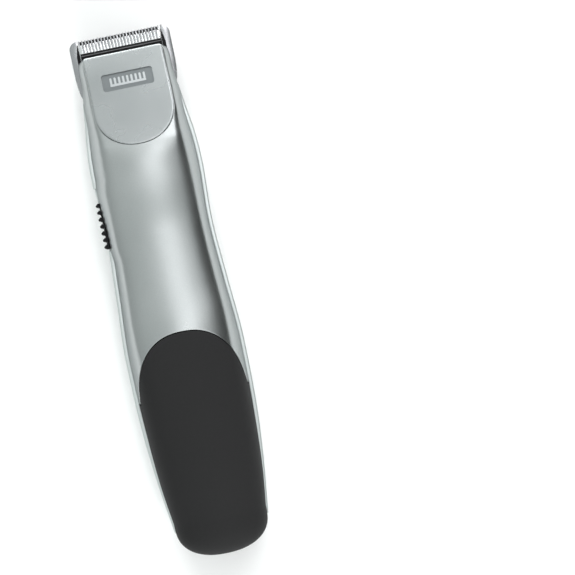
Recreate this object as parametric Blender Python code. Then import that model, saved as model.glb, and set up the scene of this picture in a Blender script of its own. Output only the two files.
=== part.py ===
"""Battery beard trimmer, lying on its back.

Frame: X to the right, Y along the body towards the blades, Z up towards the front face.
The origin is under the middle of the body, on the surface that it lies on. Every length
below is in millimetres, and "from_tip" is the distance down the body from the blade tips.
"""

from bisect import bisect_right
from math import cos, pi, sin, sqrt, tau

import bmesh
import bpy
import numpy as np
from mathutils import Matrix, Vector

MM = 0.001
FIT = 0.3

# Body, as (from_tip, value) points of smooth curves
LENGTH = 165.0
HEAD_START = 6.3
PLATE_END = 35.0
REAR_START = 19.2
REAR_END = 156.0
SEAM = 11.65
RIM = ((19, 0), (34, 1.2), (118, 1.2), (142, 0.65), (156, 0.6))
HEAD_HALF_WIDTH = ((6.3, 12.5), (6.7, 13.4), (7.5, 14.0), (8.9, 14.25), (14.0, 14.4), (19.0, 14.9))
HALF_WIDTH = ((19, 15.1), (26, 15.9), (34, 17.0), (44, 17.45), (62, 16.75), (80, 17.6),
              (101, 18.75), (123, 18.3), (141, 16.8), (156, 14.9))
FRONT = ((35, 22.2), (39, 22.9), (46, 23.3), (62, 22.4), (80, 23.4), (100, 26.6), (118, 28.2),
         (136, 27.4), (153, 24.6))
BACK = ((19, 7.6), (27, 4.7), (38, 2.3), (52, 0.8), (68, 0), (80, 0), (107, 0.2), (134, 0), (146, 0),
        (156, 1.4))
CROWN = ((35, 0.6), (39, 1.3), (46, 1.4), (80, 1.6), (90, 1.9), (120, 3.0), (153, 3.2))
# How much wider the front shell's left side is, where it overhangs the switch
BROW = ((43.5, 1), (49, 1.046), (64, 1.046), (69.5, 1))
RIDGE = ((6.3, 11.9), (8, 12.4), (26, 12.4), (35, 12.0), (44, 12.1), (62, 12.6), (76, 13.0),
         (91, 13.9), (123, 12.7), (153, 10.6))
HEAD_FRONT = 16.4
HEAD_SLOPE = (22.2 - HEAD_FRONT) / (PLATE_END - HEAD_START)
FLAT_BACK = 8.0
BACK_FULLNESS = 0.68
FRONT_WALL = 1.8
REAR_WALL = 1.6

# Battery cover
ARCH_TOP = 94.0
ARCH_LENGTH = 22.0
ARCH_HALF_WIDTH = 16.9
ARCH_POWER = 2.3
FRONT_END = 114.0
COVER_WALL = 1.3
CAP_START = 153.0
CAP_LENGTH = 12.0
CAP_MIDDLE = 12.0
CAP_POWER = 2.2

# Face plate and badge
PLATE_HALF_WIDTH = 12.3
PLATE_ROUND = 11.0
PLATE_POWER = 2.1
PLATE_THICK = 1.0
PLATE_SUNK = 1.25
BADGE = (7.8, 2.5, 0.9)
BADGE_AT = 15.0
BADGE_SUNK = 0.6

# Blades
BLADE_HALF_WIDTH = 15.8
BLADE_LENGTH = 18.7
BLADE_BOTTOM, BLADE_TOP = 8.9, 9.9
TEETH = 26
TOOTH_PITCH = 1.0
TOOTH_WIDTH = 0.55
TOOTH_DEPTH = 3.2
CUTTER_FRONT, CUTTER_BACK = 1.5, 10.5
CUTTER_BOTTOM, CUTTER_TOP = 10.2, 11.0
CUTTER_HALF_WIDTH = 12.9
BLADE_SCREW_X, BLADE_SCREW_AT = 9.2, 14.6

# Drive
AXIS_Z = 12.0
SHAFT = 1.0
MOTOR_RADIUS = 10.05
MOTOR_FLAT = 7.5
MOTOR_FRONT, MOTOR_BACK = 38.0, 60.0
ECCENTRICITY = 1.0
PIN_RADIUS = 0.75
STROKE = 1.0
FORK_HALF_GAP = ECCENTRICITY + PIN_RADIUS + STROKE + 0.15

# Switch, on the left side
POCKET_X = -15.75
BUTTON = (50.4, 65.0)
RIBS = 7
RIB_PITCH = 2.16
RIB_FIRST = 51.2
POCKET_PLACES, POCKET_HEIGHTS = (45.9, 65.6), (7.7, 14.8)
SLOT_X, SLOT_PLACES, SLOT_HEIGHTS = -12.0, (50.6, 60.4), (9.7, 13.3)

# Battery
CELL_RADIUS, CELL_BODY = 7.25, 49.3
NUB_RADIUS, NUB_LENGTH = 2.75, 1.2
CELL_X, CELL_Z = 7.45, 9.3
TRAY_FRONT, TRAY_BACK = 84.8, 142.2
TRAY_WALL = 1.2

# Screws that join the shells: x, from_tip, height of the ledge that the head sits on
HOUSING_SCREWS = ((-10.4, 28.0, 7.4), (10.4, 28.0, 7.4), (-9.0, 74.0, 4.2), (9.0, 74.0, 4.2))

SILVER = ("silver_plastic", (0.56, 0.60, 0.60), 0.35, 0.5)
PLATE_SILVER = ("plate_silver", (0.62, 0.66, 0.67), 0.3, 0.6)
BADGE_GREY = ("badge_grey", (0.25, 0.28, 0.29), 0.4, 0.5)
BLACK_SOFT = ("black_soft", (0.03, 0.03, 0.033), 0.6, 0.0)
BLACK_PLASTIC = ("black_plastic", (0.02, 0.02, 0.02), 0.4, 0.0)
GREY_PLASTIC = ("grey_plastic", (0.2, 0.2, 0.21), 0.5, 0.0)
NYLON = ("nylon", (0.8, 0.79, 0.74), 0.5, 0.0)
STEEL = ("steel", (0.7, 0.71, 0.72), 0.25, 1.0)
BRASS = ("brass", (0.75, 0.6, 0.28), 0.3, 1.0)
COPPER = ("copper", (0.7, 0.35, 0.2), 0.35, 1.0)
MAGNET = ("magnet", (0.1, 0.1, 0.1), 0.7, 0.2)
CELL_SKIN = ("cell_skin", (0.1, 0.16, 0.14), 0.35, 0.3)
RED = ("red_wire", (0.5, 0.03, 0.02), 0.5, 0.0)
BLACK_WIRE = ("black_wire", (0.02, 0.02, 0.02), 0.5, 0.0)


def clear_scene():
    for item in list(bpy.data.objects):
        bpy.data.objects.remove(item, do_unlink=True)


def material(look):
    name, colour, roughness, metallic = look
    found = bpy.data.materials.get(name)
    if found:
        return found
    made = bpy.data.materials.new(name)
    made.use_nodes = True
    shader = made.node_tree.nodes["Principled BSDF"]
    shader.inputs["Base Color"].default_value = (*colour, 1)
    shader.inputs["Roughness"].default_value = roughness
    shader.inputs["Metallic"].default_value = metallic
    return made


def along(from_tip):
    """The y of a place that is this far from the blade tips."""
    return LENGTH / 2 - from_tip


def through(points, at):
    """The value at a place on the smooth curve through (place, value) points."""
    places = [place for place, _ in points]
    values = [value for _, value in points]
    if at <= places[0]:
        return values[0]
    if at >= places[-1]:
        return values[-1]
    slopes = np.gradient(values, places)
    steps = np.diff(values)
    slopes[1:-1][steps[1:] * steps[:-1] <= 0] = 0
    low = bisect_right(places, at) - 1
    step = places[low + 1] - places[low]
    t = (at - places[low]) / step
    start = (1 + 2 * t) * (1 - t) ** 2 * values[low] + t * (1 - t) ** 2 * step * slopes[low]
    end = t * t * (3 - 2 * t) * values[low + 1] + t * t * (t - 1) * step * slopes[low + 1]
    return float(start + end)


def finish(name, mesh_data, look, smooth=35):
    """A named object from a bmesh in millimetres."""
    bmesh.ops.recalc_face_normals(mesh_data, faces=mesh_data.faces)
    bmesh.ops.scale(mesh_data, vec=(MM, MM, MM), verts=mesh_data.verts)
    mesh = bpy.data.meshes.new(name)
    mesh_data.to_mesh(mesh)
    mesh_data.free()
    mesh.materials.append(material(look))
    mesh.shade_smooth()
    mesh.set_sharp_from_angle(angle=smooth * pi / 180)
    made = bpy.data.objects.new(name, mesh)
    bpy.context.scene.collection.objects.link(made)
    return made


def loft(name, rings, look):
    """A closed solid through rings of the same number of points, with both ends filled."""
    made = bmesh.new()
    rows = [[made.verts.new(point) for point in ring] for ring in rings]
    count = len(rows[0])
    for row, following in zip(rows, rows[1:]):
        for i in range(count):
            j = (i + 1) % count
            made.faces.new((row[i], row[j], following[j], following[i]))
    made.faces.new(rows[0])
    made.faces.new(rows[-1])
    return finish(name, made, look)


def prism(name, outline, low, high, look):
    """An outline of (x, from_tip) points, extruded from one height to another."""
    lower = [(x, along(place), low) for x, place in outline]
    upper = [(x, along(place), high) for x, place in outline]
    return loft(name, [lower, upper], look)


def block(name, xs, places, zs, look):
    outline = ((xs[0], places[0]), (xs[1], places[0]), (xs[1], places[1]), (xs[0], places[1]))
    return prism(name, outline, *zs, look)


def circle(radius, sides):
    return [(radius * cos(tau * i / sides), radius * sin(tau * i / sides)) for i in range(sides)]


def turned_along(name, middle, sections, look, sides=24):
    """A round solid along Y from (from_tip, radius) sections, about the point middle (x, z)."""
    rings = [
        [(middle[0] + a, along(place), middle[1] + b) for a, b in circle(radius, sides)]
        for place, radius in sections
    ]
    return loft(name, rings, look)


def turned_up(name, middle, sections, look, sides=20):
    """A round solid along Z from (height, radius) sections, about the point middle (x, from_tip)."""
    rings = [
        [(middle[0] + a, along(middle[1]) + b, height) for a, b in circle(radius, sides)]
        for height, radius in sections
    ]
    return loft(name, rings, look)


def boolean(target, tool, operation="DIFFERENCE"):
    """Cuts, joins or trims target with tool, which is kept as a hidden helper."""
    tool.hide_render = True
    tool.display_type = "WIRE"
    change = target.modifiers.new(tool.name, "BOOLEAN")
    change.operation = operation
    change.object = tool
    change.solver = "EXACT"


def tube(name, points, radius, look, resolution=1, smooth_route=True):
    """A wire through points (x, from_tip, z)."""
    curve = bpy.data.curves.new(name, "CURVE")
    curve.dimensions = "3D"
    curve.bevel_depth = radius * MM
    curve.bevel_resolution = resolution
    curve.use_fill_caps = True
    route = smoothed(points) if smooth_route else points
    spline = curve.splines.new("POLY")
    spline.points.add(len(route) - 1)
    for knot, (x, place, z) in zip(spline.points, route):
        knot.co = (x * MM, along(place) * MM, z * MM, 1)
    curve.materials.append(material(look))
    made = bpy.data.objects.new(name, curve)
    bpy.context.scene.collection.objects.link(made)
    return made


def smoothed(points, steps=5):
    """More points along the smooth curve through these ones."""
    knots = list(range(len(points)))
    tracks = [[(knot, point[k]) for knot, point in zip(knots, points)] for k in range(3)]
    places = np.linspace(0, knots[-1], steps * knots[-1] + 1)
    return [tuple(through(track, place) for track in tracks) for place in places]


def joint_axis(name, place, pieces):
    """An empty on a joint's axis, which the pieces of a moving body hang on."""
    axis = bpy.data.objects.new(name, None)
    axis.location = Vector(place) * MM
    bpy.context.scene.collection.objects.link(axis)
    for piece in pieces:
        piece.parent = axis
        piece.matrix_parent_inverse = Matrix.Translation(-axis.location)


# ---------------------------------------------------------------- sections of the body


def bezier(points, steps):
    """Points of a cubic curve, without its first one."""
    (ax, az), (bx, bz), (cx, cz), (dx, dz) = points
    made = []
    for i in range(1, steps + 1):
        t = i / steps
        weights = ((1 - t) ** 3, 3 * t * (1 - t) ** 2, 3 * t * t * (1 - t), t**3)
        made.append((
            weights[0] * ax + weights[1] * bx + weights[2] * cx + weights[3] * dx,
            weights[0] * az + weights[1] * bz + weights[2] * cz + weights[3] * dz,
        ))
    return made


def front_half_width(place):
    if place < HEAD_HALF_WIDTH[-1][0]:
        return through(HEAD_HALF_WIDTH, place)
    return through(HALF_WIDTH, place) - through(RIM, place)


def front_height(place):
    if place < PLATE_END:
        return HEAD_FRONT + HEAD_SLOPE * (place - HEAD_START)
    return through(FRONT, place)


def front_side(half_width, top, crown, ridge, seam, steps=(3, 6)):
    """The right half of the front shell's section, from its middle down to the seam."""
    points = [(0, top)]
    for i in range(1, steps[0] + 1):
        x = ridge * i / steps[0]
        points.append((x, top - crown * (x / ridge) ** 2))
    shoulder = top - crown
    side = half_width - ridge
    controls = (
        (ridge, shoulder),
        (ridge + 0.5 * side, shoulder - 0.35 * side),
        (half_width, seam + 0.45 * (shoulder - seam)),
        (half_width, seam),
    )
    return points + bezier(controls, steps[1])


def back_side(half_width, bottom, seam, flat, steps=6):
    """The right half of the rear shell's section, from the seam to the edge of its flat back."""
    controls = (
        (half_width, seam),
        (half_width, seam - BACK_FULLNESS * (seam - bottom)),
        (flat + BACK_FULLNESS * (half_width - flat), bottom),
        (flat, bottom),
    )
    return bezier(controls, steps)


def whole(side):
    """Both sides of a section that starts on the middle line or on the right."""
    left = [(-x, z) for x, z in reversed(side)]
    if abs(side[0][0]) < 1e-9:
        left = left[:-1]
    return side, left


def ring_at(place, section):
    return [(x, along(place), z) for x, z in section]


def front_section(place, wall=0.0, skirt=0.0):
    """The front shell's closed section, made smaller by a wall and longer by a skirt below the seam."""
    width = front_half_width(place) - wall
    ridge = min(through(RIDGE, place), front_half_width(place) - 0.3) - wall * 0.7
    crown = through(CROWN, place)
    right = front_side(width, front_height(place) - wall, crown, ridge, SEAM + FIT / 2)
    if skirt:
        right = right + [(width, SEAM - skirt)]
    right, left = whole(right)
    if not wall:
        left = [(x * through(BROW, place), z) for x, z in left]
    return right + left


def rear_section(place, wall=0.0, skirt=0.0):
    """The rear shell's closed section, seen from the seam down."""
    width = through(HALF_WIDTH, place) - wall
    bottom = through(BACK, place) + wall
    flat = FLAT_BACK - wall
    edge = [(width, SEAM - FIT / 2 + skirt), (width, SEAM - FIT / 2 - 0.6)]
    if not wall:
        edge[0] = (width - 0.25, SEAM - FIT / 2)
    right = edge + back_side(width, bottom, SEAM - 0.75, flat)
    right, left = whole(right)
    return right + left


# ---------------------------------------------------------------- shells


def front_housing():
    places = (HEAD_START, 6.7, 7.5, 9, 12, 15, 19, 22, 26, 30, 34, 38, 43, 49, 57, 64, 70, 80, 88, 96, 105)
    places += (FRONT_END,)
    outer = [ring_at(place, front_section(place)) for place in places]
    shell = loft("front_housing", outer, SILVER)
    hollow_places = (HEAD_START - 1, 8, 14, 22, 30, 38, 46, 56, 66, 76, 88, 100, FRONT_END + 1)
    inner = [ring_at(place, front_section(place, FRONT_WALL, 1.0)) for place in hollow_places]
    boolean(shell, loft("front_hollow", inner, SILVER))
    boolean(shell, cover_outline("arch_cut", FIT), "DIFFERENCE")
    boolean(shell, plate_prism("plate_recess", 0.2, -PLATE_SUNK, 3.0, -2.0), "DIFFERENCE")
    for number, (x, place, ledge) in enumerate(HOUSING_SCREWS, 1):
        top = front_height(place) - FRONT_WALL + 0.4
        heights = (ledge + 2.6, top - 0.6)
        boss = turned_up(f"front_boss_{number}", (x, place), [(height, 2.4) for height in heights], SILVER)
        boolean(shell, boss, "UNION")
        heights = (ledge, ledge + 9.0)
        bore_sections = [(height, 1.3) for height in heights]
        boolean(shell, turned_up(f"front_bore_{number}", (x, place), bore_sections, SILVER, 12))
    cut_switch_openings(shell)
    return shell


def rear_housing():
    places = (REAR_START, 22, 26, 30, 35, 41, 48, 55, 62, 68, 80, 93, 107, 121, 134, 146, 151, REAR_END)
    outer = [ring_at(place, rear_section(place)) for place in places]
    shell = loft("rear_housing", outer, SILVER)
    hollow_places = (REAR_START - 1, 26, 34, 42, 52, 64, 80, 100, 120, 134, 144, REAR_END - REAR_WALL)
    inner = [ring_at(place, rear_section(place, REAR_WALL, 1.0)) for place in hollow_places]
    boolean(shell, loft("rear_hollow", inner, SILVER))
    for number, (x, place, ledge) in enumerate(HOUSING_SCREWS, 1):
        floor = through(BACK, place) + 0.6
        heights = (floor + 0.5, ledge + 2.0)
        boss = turned_up(f"rear_boss_{number}", (x, place), [(height, 3.1) for height in heights], SILVER)
        boolean(shell, boss, "UNION")
        heights = (-2, ledge)
        head_sections = [(height, 2.4) for height in heights]
        boolean(shell, turned_up(f"rear_counterbore_{number}", (x, place), head_sections, SILVER, 16))
        heights = (ledge - 1, ledge + 4)
        hole = turned_up(f"rear_hole_{number}", (x, place), [(height, 1.4) for height in heights], SILVER, 12)
        boolean(shell, hole)
    cut_switch_openings(shell)
    return shell


def cut_switch_openings(shell):
    """The shallow pocket that the button slides in, and the slot that its stem goes through."""
    outside = -25
    boolean(shell, block(f"{shell.name}_pocket", (outside, POCKET_X), POCKET_PLACES, POCKET_HEIGHTS, SILVER))
    boolean(shell, block(f"{shell.name}_slot", (outside, SLOT_X), SLOT_PLACES, SLOT_HEIGHTS, SILVER))


def plate_outline(grow):
    """The face plate's U: straight sides and a round lower end, in (x, distance down the plate)."""
    half = PLATE_HALF_WIDTH + grow
    straight = PLATE_END - HEAD_START - PLATE_ROUND
    steps = 14
    lower = []
    for i in range(steps + 1):
        turn = pi * i / steps
        x = half * abs(cos(turn)) ** (2 / PLATE_POWER) * (1 if turn < pi / 2 else -1)
        lower.append((x, straight + (PLATE_ROUND + grow) * sin(turn) ** (2 / PLATE_POWER)))
    return lower


def plate_prism(name, grow, low, high, start):
    """The plate's outline extruded square to the head's sloping front, in heights above that front."""
    outline = [(PLATE_HALF_WIDTH + grow, start)] + plate_outline(grow) + [(-PLATE_HALF_WIDTH - grow, start)]
    return on_slope(name, outline, low, high, PLATE_SILVER)


def on_slope(name, outline, low, high, look):
    """An outline of (x, distance from the head's top), extruded square to the head's sloping front."""
    down = Vector((0, -1, HEAD_SLOPE))
    out = Vector((0, HEAD_SLOPE, 1)) / sqrt(1 + HEAD_SLOPE**2)
    corner = Vector((0, along(HEAD_START), HEAD_FRONT))
    rings = []
    for height in (low, high):
        rings.append([corner + Vector((x, 0, 0)) + down * distance + out * height for x, distance in outline])
    return loft(name, rings, look)


def rounded(half_x, half_y, radius, steps=4):
    """A rectangle with round corners about (0, 0)."""
    points = []
    for quarter, (sx, sy) in enumerate(((1, 1), (-1, 1), (-1, -1), (1, -1))):
        for i in range(steps + 1):
            turn = pi / 2 * (quarter + i / steps)
            x = sx * (half_x - radius) + radius * cos(turn)
            points.append((x, sy * (half_y - radius) + radius * sin(turn)))
    return points


def face_plate():
    plate = plate_prism("face_plate", 0, -PLATE_THICK + 0.05, 0.05, 0.25)
    half_x, half_y, radius = BADGE
    middle = BADGE_AT - HEAD_START
    outline = [(x, middle + y) for x, y in rounded(half_x + 0.15, half_y + 0.15, radius)]
    boolean(plate, on_slope("badge_recess", outline, -BADGE_SUNK, 2, BADGE_GREY))
    return plate


def face_badge():
    half_x, half_y, radius = BADGE
    middle = BADGE_AT - HEAD_START
    outline = [(x, middle + y) for x, y in rounded(half_x, half_y, radius)]
    return on_slope("face_badge", outline, -BADGE_SUNK + 0.12, -0.12, BADGE_GREY)


# ---------------------------------------------------------------- battery cover


def cap_scale(place):
    """How far the body has closed in at its round lower end."""
    if place <= CAP_START:
        return 1.0
    part = min(1.0, (place - CAP_START) / CAP_LENGTH)
    return (1 - part**3) ** (1 / CAP_POWER)


def cover_section(place, wall=0.0):
    """The closed section of the whole lower body, front and back."""
    scale = cap_scale(place)
    start = min(place, CAP_START)
    width = front_half_width(start) * scale - wall * scale
    top = CAP_MIDDLE + (front_height(start) - CAP_MIDDLE) * scale - wall * scale
    bottom = CAP_MIDDLE - (CAP_MIDDLE - through(BACK, start)) * scale + wall * scale
    ridge = (through(RIDGE, start) - 0.7 * wall) * scale
    crown = through(CROWN, start) * scale
    flat = (FLAT_BACK - wall) * scale
    right = front_side(width, top, crown, ridge, CAP_MIDDLE) + back_side(width, bottom, CAP_MIDDLE, flat)
    right, left = whole(right)
    return right + left


def cap_places(length, steps):
    """Places along the round end, closer together towards its tip."""
    places = [CAP_START + length * (1 - (1 - i / steps) ** 2) for i in range(1, steps)]
    return places + [CAP_START + length * 0.997]


def cover_outline(name, grow):
    """The arch of the cover's upper edge and the whole width below it, seen from the front."""
    steps = 20
    outline = []
    for i in range(steps + 1):
        turn = pi * i / steps
        x = (ARCH_HALF_WIDTH + grow) * abs(cos(turn)) ** (2 / ARCH_POWER) * (1 if turn < pi / 2 else -1)
        place = ARCH_TOP + ARCH_LENGTH - (ARCH_LENGTH + grow) * sin(turn) ** (2 / ARCH_POWER)
        if place < FRONT_END:
            outline.append((x, place))
    edge = outline[0][0]
    step, wide, beyond = FRONT_END + FIT - grow, 25, 175
    lower = [(-edge, step), (-wide, step), (-wide, beyond), (wide, beyond), (wide, step), (edge, step)]
    return prism(name, outline + lower, SEAM - 3 if grow else 5, 40, BLACK_SOFT)


def battery_cover():
    outer_places = [91, 94, 97, 101, 106, 112, 119, 127, 136, 145, CAP_START] + cap_places(CAP_LENGTH, 7)
    outer = [ring_at(place, cover_section(place)) for place in outer_places]
    cover = loft("battery_cover", outer, BLACK_SOFT)
    inner_places = [90, 97, 106, 119, 132, 145, CAP_START]
    inner = [ring_at(place, cover_section(place, COVER_WALL)) for place in inner_places]
    for place in cap_places(CAP_LENGTH, 5):
        section = cover_section(place, COVER_WALL)
        inner.append(ring_at(CAP_START + (place - CAP_START) * (1 - COVER_WALL / CAP_LENGTH), section))
    boolean(cover, loft("cover_hollow", inner, BLACK_SOFT))
    low = block("cover_low_cut", (-30, 30), (80, REAR_END + FIT), (-5, SEAM + FIT / 2), BLACK_SOFT)
    boolean(cover, low)
    outline = cover_outline("cover_arch", 0.0)
    tail = block("cover_tail", (-30, 30), (REAR_END + FIT, 175), (-5, 20), BLACK_SOFT)
    boolean(outline, tail, "UNION")
    boolean(cover, outline, "INTERSECT")
    return cover


# ---------------------------------------------------------------- blades


def toothed(front, depth, back_outline):
    """An outline with teeth along its front edge, closed by the points of its back."""
    outline = []
    start = -(TEETH - 1) / 2 * TOOTH_PITCH
    for i in range(TEETH):
        middle = start + i * TOOTH_PITCH
        if i:
            outline.append((middle - TOOTH_WIDTH / 2, front + depth))
        outline.append((middle - TOOTH_WIDTH / 2 + 0.1, front))
        outline.append((middle + TOOTH_WIDTH / 2 - 0.1, front))
        if i < TEETH - 1:
            outline.append((middle + TOOTH_WIDTH / 2, front + depth))
    return outline + back_outline


def stationary_blade():
    half = BLADE_HALF_WIDTH
    right = [(13.25, 0.0), (14.6, 0.1), (15.5, 0.9), (half, 2.4), (half, 11.5), (15.4, 15.5), (15.0, 18.0)]
    right += [(14.3, BLADE_LENGTH)]
    last_tooth = (TEETH - 1) / 2 * TOOTH_PITCH + TOOTH_WIDTH / 2
    notch = [(last_tooth, TOOTH_DEPTH), (13.15, TOOTH_DEPTH)]
    left = [(-x, place) for x, place in reversed(right)]
    back = notch + right + left + [(-x, place) for x, place in reversed(notch)]
    outline = toothed(0.15, TOOTH_DEPTH - 0.15, back)
    blade = prism("stationary_blade", outline, BLADE_BOTTOM, BLADE_TOP, STEEL)
    for side in (-1, 1):
        where = (side * BLADE_SCREW_X, BLADE_SCREW_AT)
        boolean(blade, turned_up(f"blade_hole_{side}", where, ((8, 1.2), (11, 1.2)), STEEL, 14))
    return blade


def moving_blade():
    half, shoulder = CUTTER_HALF_WIDTH, CUTTER_FRONT + 0.3
    back = [(half, shoulder), (half - 0.5, CUTTER_BACK), (0.5 - half, CUTTER_BACK), (-half, shoulder)]
    outline = toothed(CUTTER_FRONT, 2.8, back)
    return prism("moving_blade", outline, CUTTER_BOTTOM, CUTTER_TOP, STEEL)


def blade_carrier():
    """The bar that the stationary blade is screwed to, with two tongues that enter the body."""
    right = [(14.1, 11.5), (14.1, 18.6), (10.5, 18.6), (10.5, 23.2), (6.5, 23.2), (6.5, 18.6)]
    outline = right + [(-x, place) for x, place in reversed(right)]
    carrier = prism("blade_carrier", outline, 10.2, 11.0, GREY_PLASTIC)
    for side in (-1, 1):
        where = (side * BLADE_SCREW_X, BLADE_SCREW_AT)
        boss = turned_up(f"carrier_boss_{side}", where, ((10.6, 1.7), (13.4, 1.7)), GREY_PLASTIC)
        boolean(carrier, boss, "UNION")
        bore = turned_up(f"carrier_bore_{side}", where, ((9.5, 1.1), (12.8, 1.1)), GREY_PLASTIC, 14)
        boolean(carrier, bore)
    return carrier


def blade_screw(name, side):
    sections = ((7.6, 1.6), (8.0, 2.0), (8.6, 2.0), (8.6, 0.8), (12.4, 0.8))
    where = (side * BLADE_SCREW_X, BLADE_SCREW_AT)
    screw = turned_up(name, where, sections, STEEL, 16)
    boolean(screw, cross_recess(f"{name}_recess", *where, 7.6, 0.5, 1.1))
    return screw


def cross_recess(name, x, place, bottom, depth, reach):
    """A cross for a screwdriver, opening downwards."""
    half = 0.22
    corners = [(reach, half), (half, half), (half, reach), (-half, reach), (-half, half), (-reach, half)]
    outline = corners + [(-a, -b) for a, b in corners]
    outline = [(x + a, place + b) for a, b in outline]
    return prism(name, outline, bottom - 1, bottom + depth, STEEL)


def tension_spring():
    half = 6.6
    points = [(-half, 17.4, 11.65), (-half, 13.5, 12.2), (-half, 9.6, 12.85), (-half + 0.8, 8.8, 12.85)]
    points += [(-x, place, z) for x, place, z in reversed(points)]
    return tube("tension_spring", points, 0.35, STEEL, smooth_route=False)


def drive_yoke():
    """The plastic bridge on the moving blade, with the fork that the crank pin turns in."""
    inner, outer = FORK_HALF_GAP, FORK_HALF_GAP + 1.6
    base = block("drive_yoke", (-8, 8), (6.7, 10.4), (CUTTER_TOP + FIT, 12.3), NYLON)
    stem = block("yoke_stem", (-outer, outer), (9.9, 18.2), (CUTTER_TOP + FIT, 12.9), NYLON)
    boolean(base, stem, "UNION")
    for side in (-1, 1):
        xs = sorted((side * inner, side * outer))
        prong = block(f"yoke_prong_{side}", xs, (16.6, 24.0), (CUTTER_TOP + FIT + 0.1, 14.0), NYLON)
        boolean(base, prong, "UNION")
    return base


# ---------------------------------------------------------------- drive


def eccentric_cam():
    """The cam on the motor shaft, with its crank pin above the axis."""
    wheel = ((26.2, 3.6), (26.4, 3.9), (29.6, 3.9), (31.4, 2.4))
    cam = turned_along("eccentric_cam", (0, AXIS_Z), wheel, NYLON)
    pin_sections = ((19.6, PIN_RADIUS - 0.15), (19.9, PIN_RADIUS), (28, PIN_RADIUS))
    pin = turned_along("crank_pin", (0, AXIS_Z + ECCENTRICITY), pin_sections, NYLON, 14)
    boolean(cam, pin, "UNION")
    bore = turned_along("cam_bore", (0, AXIS_Z), ((28.6, SHAFT + FIT), (33, SHAFT + FIT)), NYLON, 14)
    boolean(cam, bore)
    return cam


def motor_section(radius, flat, steps=8):
    """A circle with flat top and bottom."""
    half_turn = np.arcsin(flat / radius)
    right = []
    for i in range(steps + 1):
        turn = -half_turn + 2 * half_turn * i / steps
        right.append((radius * cos(turn), radius * sin(turn)))
    return right + [(-x, -z) for x, z in right]


def motor_solid(name, radius, flat, places, look):
    section = motor_section(radius, flat)
    rings = [[(x, along(place), AXIS_Z + z) for x, z in section] for place in places]
    return loft(name, rings, look)


def motor_can():
    can = motor_solid("motor_can", MOTOR_RADIUS, MOTOR_FLAT, (MOTOR_FRONT, MOTOR_BACK), STEEL)
    nose = turned_along("motor_nose", (0, AXIS_Z), ((36.4, 2.9), (36.6, 3.1), (39, 3.1)), STEEL)
    boolean(can, nose, "UNION")
    hollow = motor_solid("can_hollow", MOTOR_RADIUS - 0.8, MOTOR_FLAT - 0.8, (MOTOR_FRONT + 0.9, 62), STEEL)
    boolean(can, hollow)
    boolean(can, turned_along("nose_bore", (0, AXIS_Z), ((35, 2.4), (38.6, 2.4)), STEEL))
    boolean(can, turned_along("can_bore", (0, AXIS_Z), ((34, 1.7), (41, 1.7)), STEEL, 16))
    return can


def front_bearing():
    bearing = turned_along("front_bearing", (0, AXIS_Z), ((36.6, 2.1), (38.3, 2.1)), BRASS)
    boolean(bearing, turned_along("bearing_bore", (0, AXIS_Z), ((35, 1.3), (40, 1.3)), BRASS, 16))
    return bearing


def motor_end_cap():
    cap = motor_solid("motor_end_cap", MOTOR_RADIUS, MOTOR_FLAT, (60.3, 62.6), BLACK_PLASTIC)
    boss = turned_along("end_cap_boss", (0, AXIS_Z), ((62, 3.0), (64.2, 2.8)), BLACK_PLASTIC)
    boolean(cap, boss, "UNION")
    boolean(cap, turned_along("end_cap_bore", (0, AXIS_Z), ((59, 1.3), (63.4, 1.3)), BLACK_PLASTIC, 16))
    return cap


def motor_shaft():
    return turned_along("motor_shaft", (0, AXIS_Z), ((28.9, 0.8), (29.2, SHAFT), (63, SHAFT)), STEEL, 16)


def armature():
    """The wound core, with three poles."""
    points = []
    face = ((-0.85, 5.9), (-0.4, 6.2), (0.0, 6.3), (0.4, 6.2), (0.85, 5.9), (0.85, 5.2), (1.0, 4.0))
    for pole in range(3):
        middle = pi / 2 + tau * pole / 3
        for offset, radius in face:
            points.append((radius * cos(middle + offset), radius * sin(middle + offset)))
    rings = [[(x, along(place), AXIS_Z + z) for x, z in points] for place in (42, 55)]
    core = loft("armature", rings, COPPER)
    bore_sections = ((40, SHAFT + FIT), (58, SHAFT + FIT))
    boolean(core, turned_along("armature_bore", (0, AXIS_Z), bore_sections, COPPER, 16))
    return core


def commutator():
    ring = turned_along("commutator", (0, AXIS_Z), ((56, 2.4), (59.6, 2.4)), COPPER, 18)
    boolean(ring, turned_along("commutator_bore", (0, AXIS_Z), ((55, 1.3), (61, 1.3)), COPPER, 16))
    return ring


def magnet(name, side):
    """An arc magnet along one side of the can."""
    half_turn = 0.62
    steps = 6
    outline = []
    for radius, order in ((8.9, 1), (6.8, -1)):
        for i in range(steps + 1):
            turn = order * (-half_turn + 2 * half_turn * i / steps)
            outline.append((side * radius * cos(turn), radius * sin(turn)))
    rings = [[(x, along(place), AXIS_Z + z) for x, z in outline] for place in (41, 56)]
    return loft(name, rings, MAGNET)


def brush(name, side):
    xs = sorted((side * 2.75, side * 4.6))
    return block(name, xs, (57.0, 58.6), (AXIS_Z - 1.0, AXIS_Z + 1.0), COPPER)


def motor_mount():
    """The wall across the body that the motor's nose sits in."""
    outline = rounded(12.6, 6.6, 3.0)
    rings = [[(x, along(place), AXIS_Z - 0.2 + z) for x, z in outline] for place in (34.4, 36.1)]
    mount = loft("motor_mount", rings, GREY_PLASTIC)
    boolean(mount, turned_along("mount_hole", (0, AXIS_Z), ((33, 4.0), (38, 4.0)), GREY_PLASTIC))
    return mount


# ---------------------------------------------------------------- switch


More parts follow.
